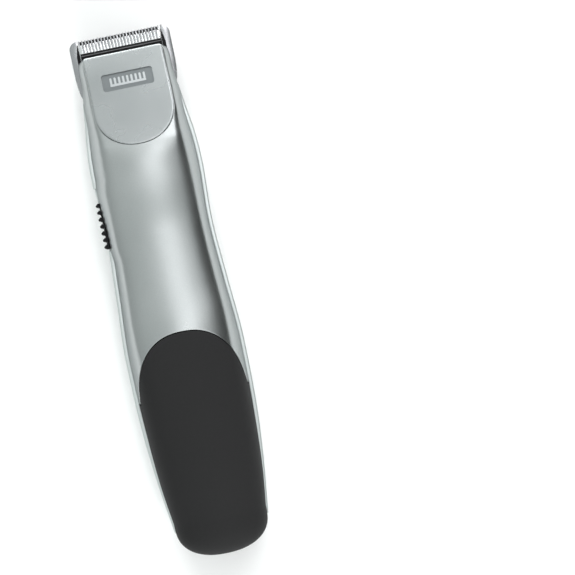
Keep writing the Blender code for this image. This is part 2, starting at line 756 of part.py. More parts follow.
def switch_button():
    """The ribbed slider outside the body, and its stem through the wall."""
    outer = POCKET_X - FIT
    button = block("switch_button", (outer - 0.9, outer), BUTTON, (8.2, 14.3), BLACK_PLASTIC)
    for number in range(RIBS):
        place = RIB_FIRST + number * RIB_PITCH
        rings = []
        for height in (8.4, 14.1):
            ring = [(min(outer - 0.7 + 1.1 * a, outer - 0.2), along(place) + 0.58 * b, height)
                    for a, b in circle(1, 12)]
            rings.append(ring)
        boolean(button, loft(f"button_rib_{number}", rings, BLACK_PLASTIC), "UNION")
    stem = block("button_stem", (outer - 0.5, -13.9), (55.0, 60.0), (10.1, 12.9), BLACK_PLASTIC)
    boolean(button, stem, "UNION")
    return button


def switch_slider():
    return block("switch_slider", (-13.6, -12.6), (53.0, 61.5), (9.0, 13.9), BLACK_PLASTIC)


def switch_wiper():
    """The sprung strip on the slider that bridges the two contacts."""
    return block("switch_wiper", (-12.3, -12.05), (54.5, 60.0), (9.4, 13.6), BRASS)


def switch_contact(name, places, zs):
    return block(name, (-11.75, -11.45), places, zs, BRASS)


def switch_base():
    return block("switch_base", (-11.15, -10.4), (49.0, 64.0), (8.6, 14.6), GREY_PLASTIC)


# ---------------------------------------------------------------- battery


def battery_cell(name, x, bottom, step):
    """A cell whose flat end is at bottom and whose nub points along step (+1 down the body, -1 up)."""
    top = bottom + step * CELL_BODY
    can = ((bottom, 6.9), (bottom + step * 0.4, CELL_RADIUS), (top - step * 0.6, CELL_RADIUS), (top, 6.4))
    sections = can + ((top, NUB_RADIUS), (top + step * NUB_LENGTH, NUB_RADIUS - 0.2))
    return turned_along(name, (x, CELL_Z), sections, CELL_SKIN, 28)


def battery_tray():
    """The keel under the cells and the two walls that hold the contacts."""
    tray = block("battery_tray", (-2, 2), (TRAY_FRONT, TRAY_BACK), (1.95, 3.6), GREY_PLASTIC)
    half = [(5, 1.95), (10, 3.4), (12.4, 5.2), (13.4, 7.2), (13.4, 14), (12.6, 15.6)]
    for number, place in enumerate((TRAY_FRONT, TRAY_BACK - TRAY_WALL)):
        outline = half + [(-x, z) for x, z in reversed(half)]
        rings = [[(x, along(p), z) for x, z in outline] for p in (place, place + TRAY_WALL)]
        boolean(tray, loft(f"tray_wall_{number}", rings, GREY_PLASTIC), "UNION")
    return tray


def contact(name, xs, place):
    return block(name, xs, (place, place + 0.3), (5.4, 12.9), BRASS)


def battery_spring(name, x, start, end):
    """A cone-shaped coil that presses on a cell's flat end."""
    turns, per_turn = 2.5, 10
    count = int(turns * per_turn)
    points = []
    for i in range(count + 1):
        part = i / count
        radius = 3.4 - 1.2 * part
        turn = tau * turns * part
        points.append((x + radius * cos(turn), start + (end - start) * part, CELL_Z + radius * sin(turn)))
    return tube(name, points, 0.3, STEEL, smooth_route=False)


# ---------------------------------------------------------------- fasteners and leads


def housing_screw(number, x, place, ledge):
    top = ledge - FIT
    sections = ((top - 1.4, 1.7), (top - 1.0, 2.0), (top, 2.0), (top, 1.0), (top + 8.4, 1.0))
    screw = turned_up(f"housing_screw_{number}", (x, place), sections, STEEL, 16)
    boolean(screw, cross_recess(f"screw_recess_{number}", x, place, top - 1.4, 0.7, 1.2))
    return screw


def lead_wires():
    radius = 0.6
    route = [(-6, 84.3, 14), (-4.4, 80, 17.3), (-4, 74, 18.4), (-7.5, 68.5, 17), (-11.2, 65.2, 14)]
    tube("lead_wire_red", route, radius, RED)
    route = [(6, 84.3, 14), (4.4, 80, 16.8), (4, 74, 17.4), (5, 67.5, 15.5), (5.4, 63.2, 13)]
    tube("lead_wire_black", route, radius, BLACK_WIRE)
    route = [(-11, 64.8, 10), (-9.2, 66.3, 10), (-7, 66, 10.5), (-5.4, 63.2, 11.5)]
    tube("lead_wire_switch", route, radius, RED)


# ---------------------------------------------------------------- the whole trimmer


def build_head():
    head = [stationary_blade(), blade_carrier(), blade_screw("blade_screw_left", -1),
            blade_screw("blade_screw_right", 1), tension_spring()]
    joint_axis("blade_head_slide", (0, along(BLADE_LENGTH), BLADE_TOP), head)
    joint_axis("cutter_slide", (0, along(CUTTER_BACK), CUTTER_BOTTOM), [moving_blade(), drive_yoke()])


def build_drive():
    motor_can()
    motor_end_cap()
    front_bearing()
    motor_mount()
    for word, side in (("left", -1), ("right", 1)):
        magnet(f"magnet_{word}", side)
        brush(f"brush_{word}", side)
    rotor = [motor_shaft(), armature(), commutator(), eccentric_cam()]
    joint_axis("rotor_axis", (0, along(MOTOR_FRONT), AXIS_Z), rotor)


def build_switch():
    moving = [switch_button(), switch_slider(), switch_wiper()]
    joint_axis("switch_slide", (POCKET_X, along(BUTTON[1]), 11.3), moving)
    switch_base()
    switch_contact("switch_contact_in", (50.5, 60.0), (11.9, 13.9))
    switch_contact("switch_contact_out", (50.5, 54.0), (9.0, 11.2))


def build_battery():
    battery_tray()
    battery_cell("battery_cell_left", -CELL_X, 137.3, -1)
    battery_cell("battery_cell_right", CELL_X, 89.7, 1)
    contact("contact_plate", (-11, -3), 86.3)
    contact("contact_spring_plate", (3, 11), 86.3)
    contact("bridge_plate", (-11, 11), 140.4)
    battery_spring("contact_spring", CELL_X, 87.2, 89.1)
    battery_spring("bridge_spring", -CELL_X, 139.8, 137.9)


def build():
    clear_scene()
    front_housing()
    rear_housing()
    face_plate()
    face_badge()
    joint_axis("cover_slide", (0, along(REAR_END), SEAM), [battery_cover()])
    build_head()
    build_drive()
    build_switch()
    build_battery()
    for number, screw in enumerate(HOUSING_SCREWS, 1):
        housing_screw(number, *screw)
    lead_wires()


build()
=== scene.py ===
"""The looks of the beard trimmer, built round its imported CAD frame.

Lengths in the meshes' sections are millimetres, and a "place" is the distance down the body from
the blade tips. Lengths in the camera's and the lights' section, and in materials, are metres. The
body's surfaces are made from the same curves as the CAD shells, at a finer step, with rounded edges.
"""

from bisect import bisect_right
from math import cos, pi, radians, sin, sqrt, tau

import bmesh
import bpy
import numpy as np
from mathutils import Matrix, Vector


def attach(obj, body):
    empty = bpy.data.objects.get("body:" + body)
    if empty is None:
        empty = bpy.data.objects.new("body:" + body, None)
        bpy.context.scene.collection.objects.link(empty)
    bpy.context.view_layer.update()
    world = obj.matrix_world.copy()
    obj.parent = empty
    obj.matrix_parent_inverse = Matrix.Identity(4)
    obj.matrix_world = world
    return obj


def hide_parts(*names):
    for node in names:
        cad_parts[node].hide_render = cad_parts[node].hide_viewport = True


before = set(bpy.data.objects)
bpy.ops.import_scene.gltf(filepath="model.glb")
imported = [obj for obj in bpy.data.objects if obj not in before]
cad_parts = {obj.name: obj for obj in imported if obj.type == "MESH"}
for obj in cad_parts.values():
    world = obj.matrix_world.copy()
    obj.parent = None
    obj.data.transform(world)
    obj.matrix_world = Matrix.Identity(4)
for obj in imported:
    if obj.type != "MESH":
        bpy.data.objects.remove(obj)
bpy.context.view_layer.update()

MM = 0.001
LENGTH = 165.0
# Edges where faces meet at more than this many degrees are shaded sharp.
SHARP_ANGLE = 35

# ---------------------------------------------------------------- the body's curves, as in the CAD

HEAD_START = 6.3
PLATE_END = 35.0
PLATE_HALF_WIDTH = 12.3
PLATE_ROUND = 11.0
PLATE_POWER = 2.1
PLATE_CORNER = 0.9
PLATE_OVERHANG = 0.25
PLATE_CROWN = 0.4
PLATE_GROOVE = 0.22
REAR_START = 19.2
REAR_END = 156.0
SEAM = 11.65
SEAM_GAP = 0.3
RIM = ((19, 0), (34, 1.2), (118, 1.2), (142, 0.65), (156, 0.6))
HEAD_HALF_WIDTH = ((6.3, 12.5), (6.7, 13.4), (7.5, 14.0), (8.9, 14.25), (14.0, 14.4), (19.0, 14.9))
HALF_WIDTH = ((19, 15.1), (26, 15.9), (34, 17.0), (44, 17.45), (62, 16.75), (80, 17.6),
              (101, 18.75), (123, 18.3), (141, 16.8), (156, 14.9))
FRONT = ((35, 22.2), (39, 22.9), (46, 23.3), (62, 22.4), (80, 23.4), (100, 26.6), (118, 28.2),
         (136, 27.4), (153, 24.6))
BACK = ((19, 7.6), (27, 4.7), (38, 2.3), (52, 0.8), (68, 0), (80, 0), (107, 0.2), (134, 0), (146, 0),
        (156, 1.4))
CROWN = ((35, 0.6), (39, 1.3), (46, 1.4), (80, 1.6), (90, 1.9), (120, 3.0), (153, 3.2))
# How much wider the front shell's left side is, where it overhangs the switch
BROW = ((43.5, 1), (49, 1.046), (64, 1.046), (69.5, 1))
RIDGE = ((6.3, 11.9), (8, 12.4), (26, 12.4), (31, 11.9), (35, 11.8), (44, 12.1), (62, 12.6), (76, 13.0),
         (91, 13.9), (123, 12.7), (153, 10.6))
ROUNDING = ((6.3, 0.25), (26, 0.35), (40, 1.0), (60, 1.6), (90, 2.0), (120, 2.6), (153, 2.6))
HEAD_FRONT = 16.4
BADGE_AT = 15.0
BADGE_HALF_SIZE = (7.9, 2.6)
HEAD_SLOPE = (22.2 - HEAD_FRONT) / (PLATE_END - HEAD_START)
FLAT_BACK = 8.0
BACK_FULLNESS = 0.68
FRONT_WALL = 1.6
REAR_WALL = 1.5
COVER_WALL = 1.2

ARCH_TOP = 94.0
ARCH_LENGTH = 22.0
ARCH_HALF_WIDTH = 16.9
ARCH_POWER = 2.3
ARCH_GAP = 0.3
FRONT_END = 114.0
CAP_START = 153.0
CAP_LENGTH = 12.0
CAP_MIDDLE = 12.0
CAP_POWER = 2.2

# Steps across the front's and the back's surfaces
ACROSS = 112
BACK_ACROSS = 96


def along(place):
    """The y of a place that is this far from the blade tips."""
    return LENGTH / 2 - place


def through(points, at):
    """The value at a place on the smooth curve through (place, value) points."""
    places = [place for place, _ in points]
    values = [value for _, value in points]
    if at <= places[0]:
        return values[0]
    if at >= places[-1]:
        return values[-1]
    slopes = np.gradient(values, places)
    steps = np.diff(values)
    slopes[1:-1][steps[1:] * steps[:-1] <= 0] = 0
    low = bisect_right(places, at) - 1
    step = places[low + 1] - places[low]
    t = (at - places[low]) / step
    start = (1 + 2 * t) * (1 - t) ** 2 * values[low] + t * (1 - t) ** 2 * step * slopes[low]
    end = t * t * (3 - 2 * t) * values[low + 1] + t * t * (t - 1) * step * slopes[low + 1]
    return float(start + end)


def front_half_width(place):
    if place < HEAD_HALF_WIDTH[-1][0]:
        return through(HEAD_HALF_WIDTH, place)
    return through(HALF_WIDTH, place) - through(RIM, place)


def front_height(place):
    if place < PLATE_END:
        return HEAD_FRONT + HEAD_SLOPE * (place - HEAD_START)
    return through(FRONT, place)


def bezier(controls, steps):
    t = np.linspace(0, 1, steps + 1)[1:, None]
    a, b, c, d = (np.array(control, float) for control in controls)
    return (1 - t) ** 3 * a + 3 * t * (1 - t) ** 2 * b + 3 * t * t * (1 - t) * c + t**3 * d


def rounded_and_even(points, rounding, count):
    """The line through points with its corners rounded, as count + 1 points at even steps."""
    points = np.array(points, float)
    lengths = np.concatenate([[0], np.cumsum(np.linalg.norm(np.diff(points, axis=0), axis=1))])
    fine = np.linspace(0, lengths[-1], 601)
    line = np.stack([np.interp(fine, lengths, points[:, k]) for k in range(2)], axis=1)
    reach = max(1, int(3 * rounding / (fine[1] - fine[0])))
    kernel = np.exp(-0.5 * (np.arange(-reach, reach + 1) * (fine[1] - fine[0]) / max(rounding, 1e-6)) ** 2)
    kernel /= kernel.sum()
    # Past each end the line goes on straight, so that the ends stay where they are.
    before = 2 * line[0] - line[reach:0:-1]
    after = 2 * line[-1] - line[-2:-reach - 2:-1]
    padded = np.concatenate([before, line, after])
    smooth = np.stack([np.convolve(padded[:, k], kernel, "valid") for k in range(2)], axis=1)
    lengths = np.concatenate([[0], np.cumsum(np.linalg.norm(np.diff(smooth, axis=0), axis=1))])
    even = np.linspace(0, lengths[-1], count + 1)
    return np.stack([np.interp(even, lengths, smooth[:, k]) for k in range(2)], axis=1)


def front_side(half_width, top, crown, ridge, seam):
    """The right half of the front shell's section, from its middle down to the seam."""
    xs = np.linspace(0, ridge, 25)
    crest = np.stack([xs, top - crown * (xs / ridge) ** 2], axis=1)
    shoulder = top - crown
    side = half_width - ridge
    controls = (
        (ridge, shoulder),
        (ridge + 0.5 * side, shoulder - 0.35 * side),
        (half_width, seam + 0.45 * (shoulder - seam)),
        (half_width, seam),
    )
    return np.concatenate([crest, bezier(controls, 40)])


def back_side(half_width, bottom, seam, flat):
    """The right half of the rear shell's section, from the seam to the edge of its flat back."""
    controls = (
        (half_width, seam),
        (half_width, seam - BACK_FULLNESS * (seam - bottom)),
        (flat + BACK_FULLNESS * (half_width - flat), bottom),
        (flat, bottom),
    )
    return bezier(controls, 40)


def mirrored(right):
    """A whole section, left to right, from its right half, which starts on the middle line."""
    left = right[:0:-1] * (-1, 1)
    return np.concatenate([left, right])


def front_section(place):
    """The front shell's outside, from its left seam over the front to its right seam."""
    width = front_half_width(place)
    ridge = min(through(RIDGE, place), width - 0.3)
    right = front_side(width, front_height(place), through(CROWN, place), ridge, SEAM + SEAM_GAP / 2)
    section = rounded_and_even(mirrored(right), through(ROUNDING, place), ACROSS)
    # The left side grows wider evenly, so that its curve stays smooth.
    section[:, 0] *= np.where(section[:, 0] < 0, through(BROW, place), 1)
    return section


def rear_section(place):
    """The rear shell's outside, from its left rim under the back to its right rim."""
    width = through(HALF_WIDTH, place)
    top = SEAM - SEAM_GAP / 2
    down = np.concatenate([[(width, top)], back_side(width, through(BACK, place), top - 0.6, FLAT_BACK)])
    right = np.concatenate([down, [(0, through(BACK, place))]])[::-1]
    return rounded_and_even(mirrored(right), 0.5, BACK_ACROSS)


def cap_scale(place):
    """How far the body has closed in at its round lower end."""
    if place <= CAP_START:
        return 1.0
    part = min(1.0, (place - CAP_START) / CAP_LENGTH)
    return (1 - part**3) ** (1 / CAP_POWER)


def cover_front(place):
    """The cover's outside over the front, from seam to seam."""
    scale = cap_scale(place)
    start = min(place, CAP_START)
    width = front_half_width(start)
    seam = SEAM + SEAM_GAP / 2
    right = front_side(width, front_height(start), through(CROWN, start), through(RIDGE, start), seam)
    section = rounded_and_even(mirrored(right), through(ROUNDING, start), ACROSS)
    return (section - (0, CAP_MIDDLE)) * scale + (0, CAP_MIDDLE)


def cover_back(place):
    """The cover's outside round the back of its closed end, from seam to seam."""
    scale = cap_scale(place)
    start = min(place, CAP_START)
    width = front_half_width(start)
    bottom = through(BACK, place)
    down = back_side(width, bottom, SEAM + SEAM_GAP / 2, FLAT_BACK)
    right = np.concatenate([[(width, SEAM + SEAM_GAP / 2)], down, [(0, bottom)]])[::-1]
    section = rounded_and_even(mirrored(right), 0.4, ACROSS)
    return (section - (0, CAP_MIDDLE)) * scale + (0, CAP_MIDDLE)


def arch_half_width(place):
    """Half the width of the cover's arch, seen from the front."""
    part = np.clip((ARCH_TOP + ARCH_LENGTH - place) / ARCH_LENGTH, 0, 1)
    return ARCH_HALF_WIDTH * (1 - part**ARCH_POWER) ** (1 / ARCH_POWER)


# ---------------------------------------------------------------- meshes


def new_object(name, mesh):
    made = bpy.data.objects.new(name, mesh)
    bpy.context.scene.collection.objects.link(made)
    return made


def shade(mesh):
    mesh.shade_smooth()
    mesh.set_sharp_from_angle(angle=radians(SHARP_ANGLE))


def object_from(name, points, faces):
    """An object from points in millimetres and faces, facing outwards."""
    mesh = bpy.data.meshes.new(name)
    mesh.from_pydata([tuple(float(c) * MM for c in point) for point in points], [], faces)
    work = bmesh.new()
    work.from_mesh(mesh)
    bmesh.ops.recalc_face_normals(work, faces=work.faces)
    work.to_mesh(mesh)
    work.free()
    shade(mesh)
    return new_object(name, mesh)


def grid_faces(rows, columns, start=0, closed=False):
    """Faces of a grid of points stored row by row."""
    faces = []
    for i in range(rows - 1):
        for j in range(columns if closed else columns - 1):
            k = (j + 1) % columns
            faces.append((
                start + i * columns + j,
                start + i * columns + k,
                start + (i + 1) * columns + k,
                start + (i + 1) * columns + j,
            ))
    return faces


def section_table(section, low, high, step=0.5):
    """Sections at even places, ready to be read in between."""
    places = np.arange(low, high + step, step)
    return places, np.array([section(place) for place in places])


def surface_point(table, column, place):
    places, sections = table
    x = np.interp(place, places, sections[:, column, 0])
    z = np.interp(place, places, sections[:, column, 1])
    return x, along(place), z


def arch_place(table, column):
    """Where a column of the body's surface meets the arch."""
    places, sections = table
    wanted = np.arange(ARCH_TOP, FRONT_END, 0.02)
    xs = np.abs(np.interp(wanted, places, sections[:, column, 0]))
    inside = np.nonzero(xs <= arch_half_width(wanted))[0]
    return float(wanted[inside[0]]) if len(inside) else FRONT_END


def apply_modifiers(obj):
    """The object's mesh as its modifiers leave it, with the modifiers gone."""
    graph = bpy.context.evaluated_depsgraph_get()
    mesh = bpy.data.meshes.new_from_object(obj.evaluated_get(graph))
    obj.modifiers.clear()
    obj.data = mesh


def shell(obj, wall, edge):
    """Gives an open surface its wall, inwards, and rounds the edges that this makes."""
    solidify = obj.modifiers.new("wall", "SOLIDIFY")
    solidify.thickness = wall * MM
    solidify.offset = -1
    solidify.use_even_offset = True
    bevel = obj.modifiers.new("edge", "BEVEL")
    bevel.width = edge * MM
    bevel.segments = 3
    bevel.limit_method = "ANGLE"
    bevel.angle_limit = radians(50)
    apply_modifiers(obj)


def cut(obj, cutter):
    """Takes the cutter's shape away from an object, and the cutter out of the scene."""
    change = obj.modifiers.new("cut", "BOOLEAN")
    change.operation = "DIFFERENCE"
    change.object = cutter
    change.solver = "EXACT"
    apply_modifiers(obj)
    bpy.data.objects.remove(cutter, do_unlink=True)
    shade(obj.data)


def soften(obj, width, segments=2, angle=40):
    """Rounds the edges where faces meet at more than an angle in degrees."""
    bevel = obj.modifiers.new("edge", "BEVEL")
    bevel.width = width * MM
    bevel.segments = segments
    bevel.limit_method = "ANGLE"
    bevel.angle_limit = radians(angle)
    apply_modifiers(obj)
    shade(obj.data)


def loft(name, rings):
    """A closed solid through rings of the same number of points, with both ends filled."""
    count = len(rings[0])
    points = [point for ring in rings for point in ring]
    faces = grid_faces(len(rings), count, closed=True)
    faces.append(tuple(range(count)))
    faces.append(tuple(range(len(points) - count, len(points))))
    return object_from(name, points, faces)


def prism(name, outline, low, high):
    """An outline of (x, place) points, extruded from one height to another."""
    return loft(name, [[(x, along(place), z) for x, place in outline] for z in (low, high)])


def block(name, xs, places, zs):
    outline = ((xs[0], places[0]), (xs[1], places[0]), (xs[1], places[1]), (xs[0], places[1]))
    return prism(name, outline, *zs)


def circle(radius, sides):
    return [(radius * cos(tau * i / sides), radius * sin(tau * i / sides)) for i in range(sides)]


def turned_up(name, middle, sections):
    """A round solid along Z from (height, radius) sections, about the point middle (x, place)."""
    rings = [
        [(middle[0] + a, along(middle[1]) + b, height) for a, b in circle(radius, 32)]
        for height, radius in sections
    ]
    return loft(name, rings)


def joined(name, objects):
    """Several objects as one."""
    work = bmesh.new()
    for obj in objects:
        work.from_mesh(obj.data)
    mesh = bpy.data.meshes.new(name)
    work.to_mesh(mesh)
    work.free()
    for obj in objects:
        bpy.data.objects.remove(obj, do_unlink=True)
    shade(mesh)
    return new_object(name, mesh)


# ---------------------------------------------------------------- node materials


class Nodes:
    """Short ways to build a material's node tree."""

    def __init__(self, name, colour, roughness, metallic=0.0, coat=0.0, edge=(1, 1, 1)):
        self.material = bpy.data.materials.new(name)
        self.material.use_nodes = True
        self.tree = self.material.node_tree
        self.shader = self.tree.nodes["Principled BSDF"]
        self.shader.inputs["Base Color"].default_value = (*colour, 1)
        self.shader.inputs["Roughness"].default_value = roughness
        self.shader.inputs["Metallic"].default_value = metallic
        self.shader.inputs["Coat Weight"].default_value = coat
        self.shader.inputs["Coat Roughness"].default_value = 0.12
        self.shader.inputs["Specular Tint"].default_value = (*edge, 1)
        self.position = self.add("ShaderNodeTexCoord").outputs["Object"]

    def add(self, kind, **values):
        node = self.tree.nodes.new(kind)
        for key, value in values.items():
            if key in node.inputs:
                node.inputs[key].default_value = value
            else:
                setattr(node, key, value)
        return node

    def link(self, output, target):
        self.tree.links.new(output, target)

    def stretched(self, scale):
        node = self.add("ShaderNodeMapping")
        node.inputs["Scale"].default_value = scale
        self.link(self.position, node.inputs["Vector"])
        return node.outputs["Vector"]

    def noise(self, scale, detail=2.0, vector=None):
        node = self.add("ShaderNodeTexNoise", Scale=scale, Detail=detail)
        self.link(vector or self.position, node.inputs["Vector"])
        return node.outputs["Fac"]

    def between(self, factor, low, high, low_in=0.0, high_in=1.0):
        """A value, or a colour, that goes from low to high as factor does."""
        if isinstance(low, tuple):
            node = self.add("ShaderNodeMapRange")
            node.data_type = "FLOAT_VECTOR"
            names = ("From_Min_FLOAT3", "From_Max_FLOAT3", "To_Min_FLOAT3", "To_Max_FLOAT3")
            for socket in node.inputs:
                if socket.identifier in names:
                    socket.default_value = {
                        names[0]: (low_in,) * 3, names[1]: (high_in,) * 3, names[2]: low, names[3]: high,
                    }[socket.identifier]
                if socket.identifier == "Vector":
                    self.link(factor, socket)
            return node.outputs["Vector"]
        node = self.add("ShaderNodeMapRange")
        node.inputs["From Min"].default_value = low_in
        node.inputs["From Max"].default_value = high_in
        node.inputs["To Min"].default_value = low
        node.inputs["To Max"].default_value = high
        self.link(factor, node.inputs["Value"])
        return node.outputs["Result"]

    def colour(self, output):
        self.link(output, self.shader.inputs["Base Color"])

    def roughness(self, output):
        self.link(output, self.shader.inputs["Roughness"])

    def bump(self, height, distance, strength=1.0):
        node = self.add("ShaderNodeBump", Strength=strength, Distance=distance)
        self.link(height, node.inputs["Height"])
        if self.shader.inputs["Normal"].links:
            self.link(self.shader.inputs["Normal"].links[0].from_socket, node.inputs["Normal"])
        self.link(node.outputs["Normal"], self.shader.inputs["Normal"])


def silver_paint(name, colour, roughness=0.3, metallic=0.75):
    """Metallic paint: fine flakes in its colour, with a faint orange peel under a clear coat."""
    # A thin clear coat, over flakes that reflect less where the surface is seen at a low angle.
    paint = Nodes(name, colour, roughness, metallic, 0.1, (0.42, 0.44, 0.44))
    flakes = paint.noise(3200.0, 1.0)
    cloud = paint.noise(45.0, 3.0)
    mixed = paint.add("ShaderNodeMath", operation="MULTIPLY_ADD")
    paint.link(flakes, mixed.inputs[0])
    mixed.inputs[1].default_value = 0.75
    paint.link(paint.between(cloud, 0.0, 0.25), mixed.inputs[2])
    dark = tuple(c * 0.94 for c in colour)
    light = tuple(min(1.0, c * 1.06) for c in colour)
    paint.colour(paint.between(mixed.outputs[0], dark, light, 0.2, 0.8))
    paint.roughness(paint.between(cloud, roughness - 0.03, roughness + 0.04, 0.3, 0.7))
    paint.bump(paint.noise(1400.0, 2.0), 0.000002)
    return paint.material


def soft_black(name):
    """Soft-touch rubber paint: very dark, matte, with a fine tooth."""
    skin = Nodes(name, (0.021, 0.021, 0.022), 0.58)
    skin.shader.inputs["Specular IOR Level"].default_value = 0.08
    skin.shader.inputs["IOR"].default_value = 1.3
    grain = skin.noise(7000.0, 2.0)
    cloud = skin.noise(30.0, 3.0)
    skin.colour(skin.between(grain, (0.019, 0.019, 0.0195), (0.026, 0.026, 0.0265), 0.3, 0.7))
    skin.roughness(skin.between(cloud, 0.55, 0.61, 0.3, 0.7))
    skin.bump(grain, 0.00001, 0.6)
    return skin.material


def moulded(name, colour, roughness=0.4, specular=0.5):
    """Moulded plastic with a fine spark texture."""
    plastic = Nodes(name, colour, roughness)
    plastic.shader.inputs["Specular IOR Level"].default_value = specular
    grain = plastic.noise(5200.0, 2.0)
    cloud = plastic.noise(60.0, 3.0)
    dark = tuple(c * 0.82 for c in colour)
    light = tuple(min(1.0, c * 1.2 + 0.002) for c in colour)
    plastic.colour(plastic.between(cloud, dark, light, 0.3, 0.7))
    plastic.roughness(plastic.between(grain, roughness - 0.08, roughness + 0.1, 0.3, 0.7))
    plastic.bump(grain, 0.00001, 0.5)
    return plastic.material


def ground_metal(name, colour, roughness=0.22, grain_scale=(9000.0, 300.0, 2500.0)):
    """Ground steel: fine lines along Y that change its shine."""
    metal = Nodes(name, colour, roughness, 1.0)
    lines = metal.noise(1.0, 3.0, metal.stretched(grain_scale))
    cloud = metal.noise(120.0, 3.0)
    dark = tuple(c * 0.86 for c in colour)
    metal.colour(metal.between(lines, dark, colour, 0.25, 0.75))
    metal.roughness(metal.between(cloud, roughness - 0.05, roughness + 0.08, 0.3, 0.7))
    metal.bump(lines, 0.000004, 0.7)
    return metal.material


def plain_metal(name, colour, roughness=0.3):
    metal = Nodes(name, colour, roughness, 1.0)
    cloud = metal.noise(700.0, 3.0)
    dark = tuple(c * 0.85 for c in colour)
    metal.colour(metal.between(cloud, dark, colour, 0.3, 0.7))
    metal.roughness(metal.between(cloud, roughness - 0.06, roughness + 0.1, 0.3, 0.7))
    return metal.material


SILVER = silver_paint("silver_paint", (0.44, 0.462, 0.462), 0.3, 1.0)
REAR_SILVER = silver_paint("rear_silver_paint", (0.66, 0.70, 0.695), 0.32, 0.9)
PLATE = silver_paint("plate_paint", (0.365, 0.385, 0.388), 0.27, 1.0)
BADGE = silver_paint("badge_paint", (0.17, 0.185, 0.19), 0.4, 0.6)
MARK = silver_paint("mark_paint", (0.5, 0.52, 0.53), 0.3)
SOFT_BLACK = soft_black("soft_black")
BLACK = moulded("black_plastic", (0.006, 0.006, 0.007), 0.42, 0.15)
DARK_GREY = moulded("dark_grey_plastic", (0.022, 0.022, 0.024), 0.45, 0.2)
GREY = moulded("grey_plastic", (0.12, 0.12, 0.125), 0.5)
NYLON = moulded("nylon", (0.8, 0.79, 0.74), 0.45)
BLADE = ground_metal("blade_steel", (0.46, 0.465, 0.48))
CUTTER = ground_metal("cutter_steel", (0.9, 0.91, 0.92), 0.18)
STEEL = plain_metal("plated_steel", (0.66, 0.67, 0.68), 0.25)
BRASS = plain_metal("bright_brass", (0.75, 0.6, 0.28), 0.25)
COPPER = plain_metal("copper_winding", (0.7, 0.35, 0.2), 0.35)
MAGNET = moulded("sintered_magnet", (0.09, 0.09, 0.09), 0.6)
CELL = silver_paint("cell_skin", (0.1, 0.16, 0.14), 0.3, 0.4)
RED = moulded("red_insulation", (0.5, 0.03, 0.02), 0.4)
WIRE_BLACK = moulded("black_insulation", (0.02, 0.02, 0.02), 0.4)


def paint(obj, material):
    obj.data.materials.clear()
    obj.data.materials.append(material)


def piece(obj, material, body, slot, *replaced):
    """A finished piece: its material, the body it moves with and the CAD nodes that it stands for."""
    paint(obj, material)
    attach(obj, body)
    if replaced:
        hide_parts(*replaced)


# ---------------------------------------------------------------- shells


def plate_outline(grow, steps=48):
    """The face plate's U in (x, distance down the plate)."""
    half = PLATE_HALF_WIDTH + grow
    straight = PLATE_END - HEAD_START - PLATE_ROUND
    points = []
    for i in range(steps + 1):
        turn = pi * i / steps
        x = half * abs(cos(turn)) ** (2 / PLATE_POWER) * (1 if turn < pi / 2 else -1)
        points.append((x, straight + (PLATE_ROUND + grow) * sin(turn) ** (2 / PLATE_POWER)))
    return points


def slope_point(x, down, height):
    """A point across the head's sloping front, down it and square to it."""
    start = Vector((0, along(HEAD_START), HEAD_FRONT))
    out = Vector((0, HEAD_SLOPE, 1)) / sqrt(1 + HEAD_SLOPE**2)
    return start + Vector((x, 0, 0)) + Vector((0, -1, HEAD_SLOPE)) * down + out * height


def on_slope(name, outline, heights):
    """An outline as a solid between heights that are square to the head's sloping front."""
    return loft(name, [[slope_point(x, down, height) for x, down in outline] for height in heights])


def front_shell():
    table = section_table(front_section, HEAD_START, FRONT_END)
    ends = [arch_place(table, column) - ARCH_GAP for column in range(ACROSS + 1)]
    rows = 120
    points = []
    for i in range(rows + 1):
        part = i / rows
        for column in range(ACROSS + 1):
            place = HEAD_START + (ends[column] - HEAD_START) * part
            points.append(surface_point(table, column, place))
    obj = object_from("front_shell", points, grid_faces(rows + 1, ACROSS + 1))
    face_outwards(obj, Vector((0, 0, 1)))
    shell(obj, FRONT_WALL, 0.28)
    edge = PLATE_HALF_WIDTH + PLATE_GROOVE
    recess = [(edge, -2.0)] + plate_outline(PLATE_GROOVE) + [(-edge, -2.0)]
    cut(obj, on_slope("recess", recess, (-0.85, 3.0)))
    cut_switch_openings(obj)
    piece(obj, SILVER, "housing", "silver_plastic", "front_housing")


def face_outwards(obj, outwards):
    """Turns the whole surface over if most of it faces away from a direction."""
    total = sum((face.normal * face.area for face in obj.data.polygons), Vector())
    if total.dot(outwards) < 0:
        obj.data.flip_normals()


def cut_switch_openings(obj):
    cut(obj, block("pocket", (-25, -15.75), (45.9, 65.6), (7.7, 14.8)))
    cut(obj, block("slot", (-25, -12), (50.6, 60.4), (9.7, 13.3)))


# Where the shells' screws sit: x, place and the height of the ledge under the head
HOUSING_SCREWS = ((-10.4, 28.0, 7.4), (10.4, 28.0, 7.4), (-9.0, 74.0, 4.2), (9.0, 74.0, 4.2))
COUNTERBORE_RADIUS = 2.4
WELL_RADIUS = 3.1


def rear_shell():
    table = section_table(rear_section, REAR_START, REAR_END)
    rows = 130
    points = []
    for i in range(rows + 1):
        place = REAR_START + (REAR_END - REAR_START) * i / rows
        points += [surface_point(table, column, place) for column in range(BACK_ACROSS + 1)]
    obj = object_from("rear_shell", points, grid_faces(rows + 1, BACK_ACROSS + 1))
    face_outwards(obj, Vector((0, 0, -1)))
    shell(obj, REAR_WALL, 0.3)
    for x, place, ledge in HOUSING_SCREWS:
        bore = ((-2, COUNTERBORE_RADIUS), (ledge, COUNTERBORE_RADIUS))
        cut(obj, turned_up("counterbore", (x, place), bore))
    cut_switch_openings(obj)
    piece(obj, REAR_SILVER, "housing", "silver_plastic", "rear_housing")


